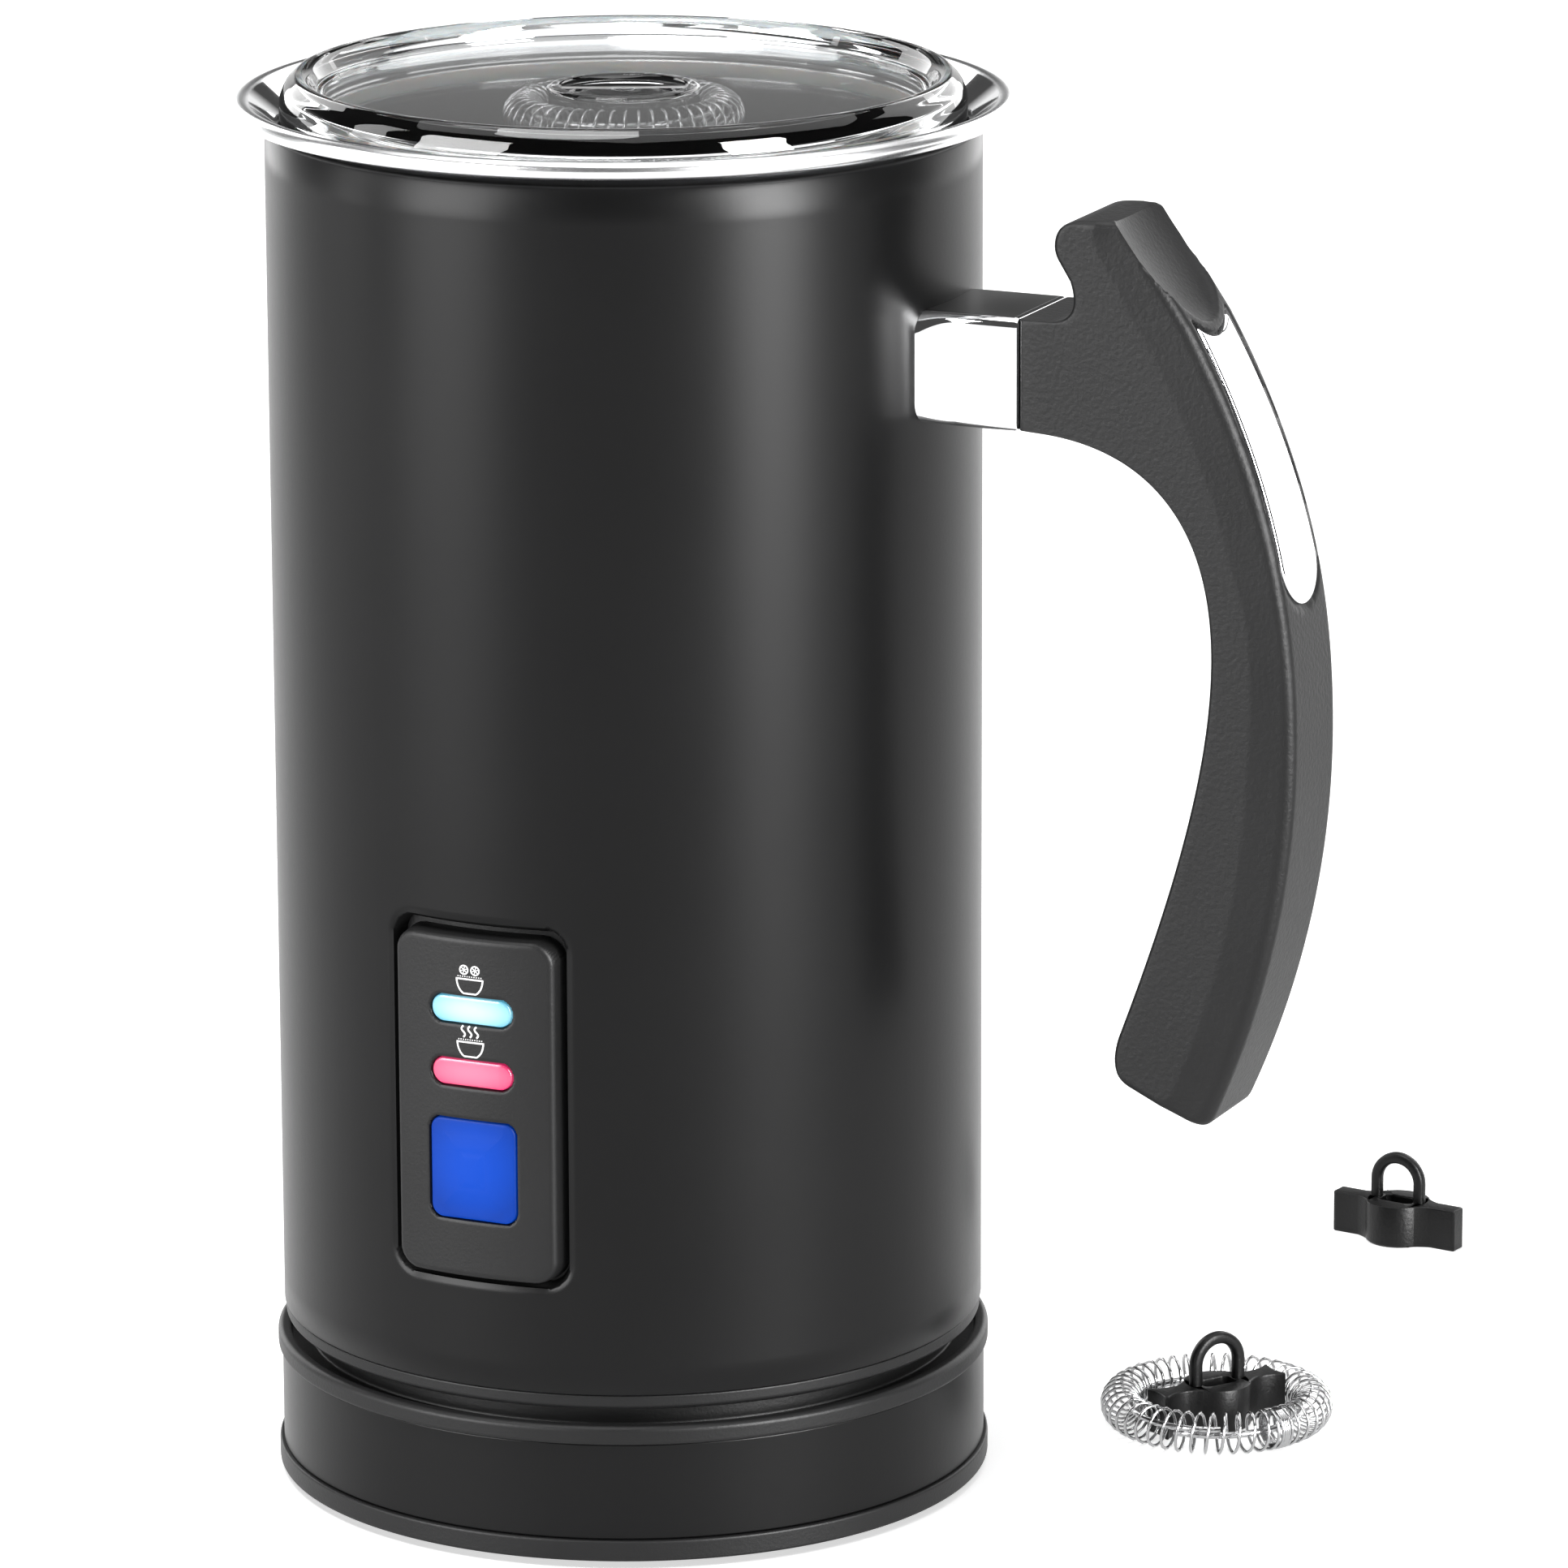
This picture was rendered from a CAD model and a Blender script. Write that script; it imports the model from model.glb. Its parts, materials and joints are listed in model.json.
"""Looks of an electric milk frother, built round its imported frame. Lengths are millimetres
until mesh_piece() puts them in metres. The jug's axis is Z and its panel faces -Y."""
import json
import math

import bpy
import numpy as np
from mathutils import Matrix, Vector


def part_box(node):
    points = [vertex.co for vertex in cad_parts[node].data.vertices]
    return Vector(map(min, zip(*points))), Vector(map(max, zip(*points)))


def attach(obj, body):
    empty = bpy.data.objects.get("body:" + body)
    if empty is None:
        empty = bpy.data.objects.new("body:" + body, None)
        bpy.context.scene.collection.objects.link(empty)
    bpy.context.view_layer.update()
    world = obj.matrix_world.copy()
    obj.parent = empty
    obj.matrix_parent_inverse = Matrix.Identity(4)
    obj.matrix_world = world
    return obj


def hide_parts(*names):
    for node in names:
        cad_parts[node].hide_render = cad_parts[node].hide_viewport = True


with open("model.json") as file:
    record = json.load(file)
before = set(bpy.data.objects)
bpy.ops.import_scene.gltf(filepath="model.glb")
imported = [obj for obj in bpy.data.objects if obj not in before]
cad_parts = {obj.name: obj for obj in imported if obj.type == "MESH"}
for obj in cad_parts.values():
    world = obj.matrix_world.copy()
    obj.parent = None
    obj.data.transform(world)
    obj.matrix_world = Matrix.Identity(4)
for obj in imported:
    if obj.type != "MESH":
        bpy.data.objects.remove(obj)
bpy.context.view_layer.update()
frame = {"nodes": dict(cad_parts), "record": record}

MM = 0.001
TAU = 2 * math.pi


def corner_mm(node, which):
    """The low (0) or high (1) corner of a CAD node, in millimetres."""
    return np.array(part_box(node)[which]) / MM


def middle_z(node):
    return (corner_mm(node, 0)[2] + corner_mm(node, 1)[2]) / 2


# ---------- Sizes read from the frame ----------
JUG_R = corner_mm("outer_shell", 1)[0]
SHELL_FOOT, SHELL_TOP = corner_mm("outer_shell", 0)[2], corner_mm("outer_shell", 1)[2]
BASE_EDGE_R = corner_mm("base_top_cover", 1)[0]
BASE_R = corner_mm("base_wall", 1)[0]
BASE_RING_LOW = corner_mm("base_wall", 1)[2] + 0.02
BASE_RING_TOP = BASE_RING_LOW + 2.7
JUG_BOTTOM = corner_mm("bottom_housing", 0)[2]
PLATFORM_TOP = corner_mm("base_top_cover", 1)[2]
LIP_TOP = corner_mm("pot_liner", 1)[2]
LIP_R = corner_mm("pot_liner", 1)[0]
POT_UNDER = corner_mm("pot_liner", 0)[2]
LID_CREST = corner_mm("lid_cover", 1)[2]
LID_R = corner_mm("lid_cover", 1)[0]
GRIP_X = corner_mm("handle_bracket", 1)[0]
BRACKET_Z = middle_z("handle_bracket")
BRACKET_HALF = (corner_mm("handle_bracket", 1) - corner_mm("handle_bracket", 0))[1:] / 2
GRIP_HALF = corner_mm("handle_grip", 1)[1]
PANEL_Z = middle_z("panel_frame")
PANEL_FACE_R = JUG_R + 1.2
PANEL_HALF = np.array([12.05, 24.4])
BUTTON_Z = middle_z("power_button")
COLD_LIGHT_Z = middle_z("cold_light_pipe")
HOT_LIGHT_Z = middle_z("hot_light_pipe")
POT_R = 46.0  # inside of the pot
LIGHT_HALF = np.array([6.1, 1.9])
BUTTON_HALF = np.array([6.5, 7.2])
HUB_H = 6.5
WINDOW_HALF = PANEL_HALF + np.array([1.3, 1.45])  # of the recess that the panel sits in
WINDOW_Z = PANEL_Z + 0.5
WINDOW_DEPTH = 2.75
INLAY_FOOT, INLAY_NECK, INLAY_HALF, INLAY_THICK = -23.8, 6.2, 6.2, 1.0
COIL_R, COIL_CENTRE_R, COIL_WIRE_R = 3.08, 13.9, 0.24
CORE_R, CORE_WIRE_R = 12.4, 0.52

VIEW_TURN = math.radians(25.6)  # how far the camera stands round from the panel towards the handle
CAMERA_BACK, CAMERA_HEIGHT, CAMERA_LENS = 1.26193, 0.42556, 211.1
CARD_DISTANCE = 1.2
SUN_ENERGY, SUN_SPREAD = 1.5, math.radians(28)

# ---------- Meshes ----------
def mesh_piece(name, points, quads, caps, body, finish, slot, replaces=(), crease=38):
    """One closed mesh from points in millimetres. Points that fall together are merged, a quad
    that loses a corner becomes a triangle, and all faces are turned over if the volume that
    they hold, the sum of (a x b) . c / 6 over their triangles, comes out negative."""
    rounded = np.round(np.asarray(points, float).reshape(-1, 3), 5)
    verts, where = np.unique(rounded, axis=0, return_inverse=True)
    where = where.ravel()
    quads = where[np.asarray(quads, int).reshape(-1, 4)]
    kept = quads != np.roll(quads, 1, axis=1)
    whole = quads[kept.all(axis=1)]
    cut = [row[keep].tolist() for row, keep in zip(quads[~kept.all(axis=1)], kept[~kept.all(axis=1)])]
    faces = whole.tolist() + [face for face in cut if len(set(face)) > 2]
    faces += [where[np.asarray(cap)].tolist() for cap in caps]
    fans = [(face[0], face[i], face[i + 1]) for face in faces for i in range(1, len(face) - 1)]
    a, b, c = (verts[np.array(fans)[:, i]] for i in range(3))
    if np.einsum("ij,ij->i", np.cross(a, b), c).sum() < 0:
        faces = [face[::-1] for face in faces]
    mesh = bpy.data.meshes.new(name)
    mesh.from_pydata((verts * MM).tolist(), [], faces)
    mesh.validate()
    mesh.shade_smooth()
    mesh.set_sharp_from_angle(angle=math.radians(crease))
    piece = bpy.data.objects.new(name, mesh)
    bpy.context.scene.collection.objects.link(piece)
    piece.data.materials.append(finish)
    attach(piece, body)
    if replaces:
        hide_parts(*replaces)
    return piece


def grid_quads(rows, columns, wrap_rows=False, wrap_columns=False, start=0):
    """Corner numbers of the quads of a rows x columns grid of points."""
    r = np.arange(rows if wrap_rows else rows - 1)[:, None]
    c = np.arange(columns if wrap_columns else columns - 1)[None, :]
    r2, c2 = (r + 1) % rows, (c + 1) % columns
    corners = [r * columns + c, r * columns + c2, r2 * columns + c2, r2 * columns + c]
    return start + np.stack([np.broadcast_to(k, (r.size, c.size)) for k in corners], -1).reshape(-1, 4)


def loft(rings, wrap=False):
    """Quads and caps of a solid whose skin runs from ring to ring. rings is (m, n, 3); with
    wrap the last ring joins the first, as on a torus, and otherwise both ends are capped."""
    rings = np.asarray(rings, float)
    m, n = rings.shape[:2]
    quads = grid_quads(m, n, wrap_rows=wrap, wrap_columns=True)
    caps = [] if wrap else [np.arange(n)[::-1], (m - 1) * n + np.arange(n)]
    return rings.reshape(-1, 3), quads, caps


def slab(top, under):
    """A plate between two (m, n, 3) grids, closed round its border."""
    m, n = top.shape[:2]
    points = np.concatenate([top.reshape(-1, 3), under.reshape(-1, 3)])
    upper = grid_quads(m, n)
    lower = grid_quads(m, n, start=m * n)[:, ::-1]
    index = np.arange(m * n).reshape(m, n)
    border = np.concatenate([index[0], index[1:, -1], index[-1, -2::-1], index[-2:0:-1, 0]])
    after = np.roll(border, -1)
    sides = np.stack([after, border, border + m * n, after + m * n], -1)
    return points, np.concatenate([upper, lower, sides]), []


def merged(parts):
    """Several (points, quads, caps) as one."""
    points, quads, caps, count = [], [], [], 0
    for part_points, part_quads, part_caps in parts:
        part_points = np.asarray(part_points).reshape(-1, 3)
        points.append(part_points)
        quads.append(np.asarray(part_quads).reshape(-1, 4) + count)
        caps += [np.asarray(cap) + count for cap in part_caps]
        count += len(part_points)
    return np.concatenate(points), np.concatenate(quads), caps


def softened(corners, radius=0.3, closed=True, steps=5):
    """A profile whose corners are rounded. Each corner C between neighbours A and B becomes the
    curve (1-t)^2 P + 2t(1-t) C + t^2 Q, with P and Q a radius away, and one more point is held
    just outside P and Q so that the flats beside the curve stay flat when shaded."""
    corners = [np.array(c[:2], float) for c in corners]
    out = []
    for i, corner in enumerate(corners):
        before, after = corners[i - 1], corners[(i + 1) % len(corners)]
        if not closed and i in (0, len(corners) - 1):
            out.append(corner)
            continue
        to_before, to_after = np.linalg.norm(before - corner), np.linalg.norm(after - corner)
        reach = min(radius, 0.42 * to_before, 0.42 * to_after)
        p = corner + (before - corner) / to_before * reach
        q = corner + (after - corner) / to_after * reach
        t = np.linspace(0, 1, steps)[:, None]
        out.append(p + (p - corner) * 0.16)
        out.extend((1 - t) ** 2 * p + 2 * t * (1 - t) * corner + t ** 2 * q)
        out.append(q + (q - corner) * 0.16)
    return np.array(out)


def lathe(profile, sides=192, x=0.0, y=0.0):
    """A profile of (radius, height) turned about a Z axis: each point goes to
    (r cos a, r sin a, z). A profile that starts on the axis is closed there."""
    profile = np.asarray(profile, float)
    a = np.linspace(0, TAU, sides, endpoint=False)
    r, z = profile[:, :1], profile[:, 1:2]
    rings = np.stack([x + r * np.cos(a), y + r * np.sin(a), np.broadcast_to(z, (len(profile), sides))], -1)
    closed = profile[0, 0] == 0 and profile[-1, 0] == 0
    quads = grid_quads(len(profile), sides, wrap_rows=not closed, wrap_columns=True)
    return rings.reshape(-1, 3), quads, []


def on_axis(foot, profile, top):
    """A profile carried to the axis at both ends, so that lathe() closes it there."""
    return np.concatenate([[(0, foot)], profile, [(0, top)]])


def bezier(*points, n=40):
    """Points on the quadratic or cubic curve with these control points."""
    t = np.linspace(0, 1, n)[:, None]
    points = [np.array(p, float) for p in points]
    while len(points) > 1:
        points = [a * (1 - t) + b * t for a, b in zip(points, points[1:])]
    return points[0]


def rounded_distance(x, z, half, radius):
    """Distance to the outline of a rectangle with round corners, negative inside: with q the
    offset from the corner's centre, |max(q, 0)| + min(max(qx, qz), 0) - radius."""
    qx, qz = np.abs(x) - half[0] + radius, np.abs(z) - half[1] + radius
    outside = np.hypot(np.maximum(qx, 0), np.maximum(qz, 0))
    return outside + np.minimum(np.maximum(qx, qz), 0) - radius


def unit(rows):
    """Each row scaled to length 1."""
    return rows / np.linalg.norm(rows, axis=1)[:, None]


def smooth(value):
    """3v^2 - 2v^3 between 0 and 1."""
    v = np.clip(value, 0, 1)
    return v * v * (3 - 2 * v)


def rounded_ring(half, radius, inset=0.0, per_corner=10):
    """The outline of a rectangle with round corners, pulled in by inset."""
    half = np.array(half) - inset
    radius = max(radius - inset, 0.02)
    angles = [np.linspace(k, k + 1, per_corner) * TAU / 4 for k in range(4)]
    signs = [(1, 1), (-1, 1), (-1, -1), (1, -1)]
    parts = []
    for angle, sign in zip(angles, signs):
        centre = (half - radius) * sign
        parts.append(centre + radius * np.stack([np.cos(angle), np.sin(angle)], -1))
    return np.concatenate(parts)


def on_cylinder(x, z, radius):
    """The point of a cylinder of this radius, on its -Y side, that lies at x and z."""
    return np.stack([x, -np.sqrt(np.maximum(radius ** 2 - x ** 2, 1)), z + 0 * x], -1)


# ---------- Finishes ----------
class Value:
    """A number that changes over a surface. Its operators add Math nodes."""

    def __init__(self, finish, socket):
        self.finish, self.socket = finish, socket

    def math(self, operation, *others):
        node = self.finish.node("ShaderNodeMath", {"operation": operation}, [self, *others])
        return Value(self.finish, node.outputs[0])

    def __add__(self, other):
        return self.math("ADD", other)

    __radd__ = __add__

    def __mul__(self, other):
        return self.math("MULTIPLY", other)

    __rmul__ = __mul__

    def __sub__(self, other):
        return self.math("SUBTRACT", other)

    def __rsub__(self, other):
        return self.math("MULTIPLY", -1.0).math("ADD", other)

    def step(self, low, high):
        """0 below low, 1 above high and even between."""
        node = self.finish.node(
            "ShaderNodeMapRange", {"clamp": True}, {"Value": self, "From Min": low, "From Max": high})
        return Value(self.finish, node.outputs["Result"])


class Tree:
    """A node tree to add to."""

    def __init__(self, tree):
        self.tree = tree

    def node(self, kind, settings, inputs):
        """A node of this kind with its settings made and its inputs filled or linked."""
        node = self.tree.nodes.new(kind)
        for key, value in settings.items():
            setattr(node, key, value)
        pairs = inputs.items() if isinstance(inputs, dict) else enumerate(inputs)
        for key, value in pairs:
            if isinstance(value, Value):
                value = value.socket
            if isinstance(value, bpy.types.NodeSocket):
                self.tree.links.new(value, node.inputs[key])
            else:
                node.inputs[key].default_value = value
        return node


class Finish(Tree):
    """A material: its node tree, its Principled shader and ways to add patterns."""

    def __init__(self, name, **values):
        self.material = bpy.data.materials.new(name)
        self.material.use_nodes = True
        super().__init__(self.material.node_tree)
        self.shader = self.tree.nodes["Principled BSDF"]
        for socket, value in values.items():
            self.set(socket.replace("_", " "), value)
        place = self.node("ShaderNodeTexCoord", {}, {})
        self.place = place.outputs["Object"]

    def set(self, socket, value):
        target = self.shader.inputs[socket]
        if isinstance(value, Value):
            value = value.socket
        if isinstance(value, bpy.types.NodeSocket):
            self.tree.links.new(value, target)
        elif target.type == "RGBA" and len(value) == 3:
            target.default_value = (*value, 1)
        else:
            target.default_value = value

    def noise(self, scale, detail=2.0, stretch=(1, 1, 1)):
        """Noise over the object's own space, scale features to the metre."""
        place = self.node("ShaderNodeMapping", {}, {"Vector": self.place, "Scale": stretch})
        inputs = {"Vector": place.outputs[0], "Scale": scale, "Detail": detail}
        return Value(self, self.node("ShaderNodeTexNoise", {}, inputs).outputs["Fac"])

    def spots(self, scale):
        """Distance to the nearest of scattered points, scale points to the metre."""
        inputs = {"Vector": self.place, "Scale": scale}
        return Value(self, self.node("ShaderNodeTexVoronoi", {}, inputs).outputs["Distance"])

    def axis(self, name):
        """The object's own x, y or z in millimetres."""
        node = self.node("ShaderNodeSeparateXYZ", {}, {0: self.place})
        return Value(self, node.outputs[name]) * (1 / MM)

    def radius(self):
        x, y = self.axis("X"), self.axis("Y")
        return (x * x + y * y).math("SQRT")

    def blend(self, amount, first, second):
        """A colour that goes from first to second as amount goes from 0 to 1."""
        node = self.node("ShaderNodeMix", {"data_type": "RGBA"}, {})
        amount = amount.socket if isinstance(amount, Value) else amount
        self.tree.links.new(amount, node.inputs["Factor"])
        for socket, colour in zip(("A", "B"), (first, second)):
            target = [s for s in node.inputs if s.name == socket and s.type == "RGBA"][0]
            if isinstance(colour, bpy.types.NodeSocket):
                self.tree.links.new(colour, target)
            else:
                target.default_value = (*colour, 1)
        return [s for s in node.outputs if s.type == "RGBA"][0]

    def tint(self, amount, first, second):
        """Base Color blended from first to second."""
        self.set("Base Color", self.blend(amount, first, second))

    def bump(self, height, depth):
        """Small relief, depth in millimetres from the height's 0 to 1."""
        inputs = {"Height": height, "Distance": depth * MM, "Strength": 1.0}
        self.set("Normal", self.node("ShaderNodeBump", {}, inputs).outputs["Normal"])


def satin_paint():
    """Stoved satin black paint: faint orange peel and a slightly uneven sheen."""
    f = Finish("satin_black_paint", Specular_IOR_Level=0.14)
    cloud = f.noise(38, 3)
    sunk = (1 - f.radius().step(JUG_R - 1.2, JUG_R - 0.25)) * (f.radius().step(JUG_R - 6, JUG_R - 5))
    painted = f.blend(cloud, (0.008, 0.008, 0.0083), (0.0115, 0.0115, 0.0118))
    f.tint(sunk, painted, (0.001, 0.001, 0.001))
    f.set("Roughness", cloud * 0.04 + f.noise(900, 2) * 0.03 + 0.28 + sunk * 0.5)
    f.bump(f.noise(1500, 2), 0.006)
    return f.material


def moulded_black(name, grain, roughness, tone=0.014, relief=0.03):
    """Black moulded plastic with a spark-eroded grain."""
    f = Finish(name, Specular_IOR_Level=0.2)
    fine = f.noise(grain, 4)
    worn = f.noise(60, 3)
    f.tint(worn, (tone, tone, tone * 1.03), (tone * 1.5, tone * 1.5, tone * 1.55))
    f.set("Roughness", worn * 0.08 + fine * 0.10 + (roughness - 0.09))
    f.bump(fine, relief)
    return f.material


def polished(name, tone=0.86, roughness=0.035):
    """Polished metal: faint cloudy haze and hairlines round it."""
    f = Finish(name, Metallic=1.0)
    haze = f.noise(70, 4)
    f.tint(haze, (tone, tone, tone * 1.005), (tone * 0.95, tone * 0.955, tone * 0.97))
    lines = f.noise(300, 3, (1, 1, 12))
    f.set("Roughness", haze * 0.03 + lines * 0.015 + roughness)
    return f.material


def pot_steel():
    """The pot: a dark non-stick coat inside and a mirror-polished flare and lip."""
    f = Finish("pot_steel")
    r, z = f.radius(), f.axis("Z")
    coat = (1 - r.step(POT_R + 0.02, POT_R + 0.12)) * z.step(POT_UNDER + 1.5, POT_UNDER + 1.9)
    fleck = f.spots(1400).step(0.0, 0.35)
    dark = f.blend(fleck, (0.032, 0.032, 0.034), (0.018, 0.018, 0.019))
    haze = f.noise(70, 3)
    bright = f.blend(haze, (0.87, 0.875, 0.88), (0.82, 0.825, 0.835))
    f.tint(coat, bright, dark)
    f.set("Metallic", 1 - coat)
    bead = r.step(LIP_R - 2.3, LIP_R - 2.0)
    f.set("Roughness", haze * 0.03 + 0.03 + coat * 0.27 + bead * 0.2)
    return f.material


def sleeve_chrome():
    """The bracket: polished all round, with a black plastic strip let into its upper face."""
    f = Finish("sleeve_chrome")
    high = BRACKET_Z + BRACKET_HALF[1]
    side = 1 - f.axis("Y").math("ABSOLUTE").step(BRACKET_HALF[0] - 1.0, BRACKET_HALF[0] - 0.8)
    near = 1 - f.axis("X").step(GRIP_X - 0.9, GRIP_X - 0.7)
    strip = f.axis("Z").step(high - 0.2, high - 0.1) * side * near
    haze = f.noise(70, 4)
    bright = f.blend(haze, (0.86, 0.86, 0.865), (0.82, 0.825, 0.83))
    f.tint(strip, bright, (0.006, 0.006, 0.006))
    f.set("Metallic", 1 - strip)
    f.set("Roughness", haze * 0.03 + 0.035 + strip * 0.3)
    return f.material


def clear_plastic():
    """Clear styrene: see-through, polished, with the faintest moulding swirl."""
    f = Finish("clear_plastic", Transmission_Weight=1.0, IOR=1.49)
    swirl = f.noise(45, 2)
    f.tint(swirl, (0.965, 0.975, 0.98), (0.985, 0.99, 0.99))
    f.set("Roughness", swirl * 0.02 + 0.01)
    return f.material


def silicone():
    f = Finish("silicone", Subsurface_Weight=0.2)
    haze = f.noise(120, 2)
    f.tint(haze, (0.55, 0.55, 0.54), (0.64, 0.64, 0.63))
    f.set("Roughness", haze * 0.1 + 0.42)
    return f.material


def rubber():
    f = Finish("black_rubber")
    dust = f.noise(500, 4)
    f.tint(dust, (0.016, 0.016, 0.016), (0.032, 0.031, 0.03))
    f.set("Roughness", dust * 0.12 + 0.72)
    f.bump(dust, 0.04)
    return f.material


def lit_lens(name, edge, middle, centre_z, strength):
    """A lamp's cover: brightest over the lamp in its middle, deeper towards its ends."""
    f = Finish(name, Emission_Strength=strength, Coat_Weight=0.5, Coat_Roughness=0.08)
    x = f.axis("X") * (1 / LIGHT_HALF[0])
    z = (f.axis("Z") - centre_z) * (1 / LIGHT_HALF[1])
    away = (x * x * 0.75 + z * z * 0.6) + f.noise(160, 1) * 0.2
    glow = f.blend(away.step(0.05, 1.15), middle, edge)
    f.set("Base Color", glow)
    f.set("Emission Color", glow)
    f.set("Roughness", f.noise(300, 2) * 0.1 + 0.25)
    return f.material


def button_blue():
    """Deep blue button, a little lighter in the middle where the finger has polished it."""
    f = Finish("button_blue", Emission_Strength=0.3, Specular_IOR_Level=0.1)
    x = f.axis("X") * (1 / BUTTON_HALF[0])
    z = (f.axis("Z") - (BUTTON_Z + 0.8)) * (1 / BUTTON_HALF[1])
    away = (x * x + z * z).step(0.05, 1.3)
    tint = f.blend(away, (0.0, 0.075, 0.62), (0.0, 0.05, 0.42))
    f.set("Base Color", tint)
    f.set("Emission Color", tint)
    f.set("Roughness", f.noise(900, 3) * 0.1 + 0.40)
    f.bump(f.noise(2500, 2), 0.01)
    return f.material


def plain_metal(name, colour, roughness, metallic=1.0, grain=400.0, stretch=(1, 1, 1), glow=0.0):
    """Drawn, milled or plated metal: tone and roughness follow a fine grain."""
    f = Finish(name, Metallic=metallic, Emission_Strength=glow, Emission_Color=(1, 1, 1))
    fine = f.noise(grain, 4, stretch)
    darker = tuple(c * 0.82 for c in colour)
    f.tint(fine, colour, darker)
    f.set("Roughness", fine * 0.18 + (roughness - 0.09))
    f.bump(fine, 0.01)
    return f.material


def plain_solid(name, colour, roughness, grain=600.0, glow=0.0):
    """Unpainted solid stuff, such as ceramic, resin board or print."""
    return plain_metal(name, colour, roughness, 0.0, grain, glow=glow)


PAINT = satin_paint()
GRAINED = moulded_black("grained_black", 2600, 0.52)
GRIP_BLACK = moulded_black("grip_black", 1500, 0.47, 0.014, 0.07)
SATIN_MOULD = moulded_black("satin_mould", 2200, 0.44)
HUB_BLACK = moulded_black("hub_black", 2100, 0.40, 0.006, 0.05)
CHROME = polished("chrome")
SLEEVE = sleeve_chrome()
WIRE = polished("wire_steel", 0.42, 0.16)
POT = pot_steel()
CLEAR = clear_plastic()
SILICONE = silicone()
RUBBER = rubber()
BLUE = button_blue()
CYAN = lit_lens("cold_lens", (0.10, 0.46, 0.66), (0.56, 0.90, 0.96), COLD_LIGHT_Z, 0.6)
PINK = lit_lens("hot_lens", (0.72, 0.015, 0.13), (1.0, 0.17, 0.30), HOT_LIGHT_Z, 0.6)
PRINT = plain_solid("white_print", (0.86, 0.86, 0.86), 0.5, glow=0.6)
DRAWN_STEEL = plain_metal("drawn_steel", (0.60, 0.61, 0.62), 0.32, stretch=(1, 1, 14))
ALUMINIUM = plain_metal("mill_aluminium", (0.72, 0.73, 0.75), 0.38)
BRASS = plain_metal("contact_brass", (0.78, 0.58, 0.26), 0.26)
MAGNET = plain_metal("plated_magnet", (0.42, 0.42, 0.43), 0.3)
CERAMIC = plain_solid("ceramic", (0.78, 0.74, 0.66), 0.6)
BOARD = plain_solid("green_board", (0.03, 0.20, 0.07), 0.45)

HIDDEN_FINISHES = {
    "black_plastic": GRAINED, "gloss_black": SATIN_MOULD, "satin_black": PAINT,
    "polished_steel": CHROME, "drawn_steel": DRAWN_STEEL, "clear_lid": CLEAR, "silicone": SILICONE,
    "rubber": RUBBER, "brass": BRASS, "aluminium": ALUMINIUM, "board": BOARD, "blue_button": BLUE,
    "cyan_light": CYAN, "pink_light": PINK, "magnet": MAGNET, "ceramic": CERAMIC,
}


def finish_cad_nodes():
    """Each CAD node that stays in sight takes the finish of its slot in the record."""
    for row in frame["record"]["subparts"]:
        node = frame["nodes"][row["node"]]
        node.data.materials.clear()
        node.data.materials.append(HIDDEN_FINISHES[row["material_slot"]])


# ---------- Power base ----------
def base_pieces():
    flange_top = BASE_RING_LOW - 14
    plate = softened([
        (16, 0), (16, 2), (BASE_EDGE_R - 4, 2), (BASE_EDGE_R - 4, 1), (BASE_EDGE_R, 1),
        (BASE_EDGE_R, flange_top), (14, flange_top), (14, 2),
    ], 0.35, closed=False)
    plate = on_axis(0, plate, 2)
    mesh_piece("base_bottom", *lathe(plate), "base", SATIN_MOULD, "black_plastic", ["base_bottom_cover"])
    wall = softened([
        (BASE_R - 2, flange_top + 0.05), (BASE_R, flange_top + 0.05),
        (BASE_R, BASE_RING_LOW - 0.05), (BASE_R - 2, BASE_RING_LOW - 0.05)], 0.25)
    mesh_piece("base_band", *lathe(wall), "base", PAINT, "satin_black", ["base_wall"])
    moat = BASE_RING_TOP - 1.3
    spigot = BASE_R - 2.2
    deck = softened([
        (spigot - 1.8, BASE_RING_LOW - 3), (spigot, BASE_RING_LOW - 3), (spigot, BASE_RING_LOW),
        (BASE_EDGE_R, BASE_RING_LOW), (BASE_EDGE_R, BASE_RING_TOP - 0.5),
        (BASE_EDGE_R - 0.6, BASE_RING_TOP), (BASE_EDGE_R - 1.8, BASE_RING_TOP),
        (BASE_EDGE_R - 2, moat), (46.2, moat), (46, PLATFORM_TOP), (13.2, PLATFORM_TOP),
        (13.2, PLATFORM_TOP - 2), (44, PLATFORM_TOP - 2), (44, BASE_RING_LOW - 0.6),
        (spigot - 1.8, BASE_RING_LOW - 0.6)], 0.45)
    mesh_piece("base_deck", *lathe(deck), "base", SATIN_MOULD, "gloss_black", ["base_top_cover"])
    top = corner_mm("base_connector", 1)[2]
    plug = softened([
        (3.2, 10), (13, 10), (13, top - 1), (12, top), (8.8, top), (8.8, 14), (7.2, 14),
        (7.2, top), (3.2, top)], 0.4)
    mesh_piece("base_plug", *lathe(plug, 96), "base", GRAINED, "black_plastic", ["base_connector"])
    for number in range(1, 5):
        node = f"foot_{number}"
        x, y, _ = (corner_mm(node, 0) + corner_mm(node, 1)) / 2
        pad = softened([(4.5, 0), (4.5, 1.98), (3, 1.98)], 0.5, closed=False)
        pad = np.concatenate([[(0, 0.3), (3.1, 0.3), (3.5, 0)], pad, [(0, 1.98)]])
        mesh_piece(f"pad_{number}", *lathe(pad, 48, x, y), "base", RUBBER, "rubber", [node])
    gland()


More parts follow.
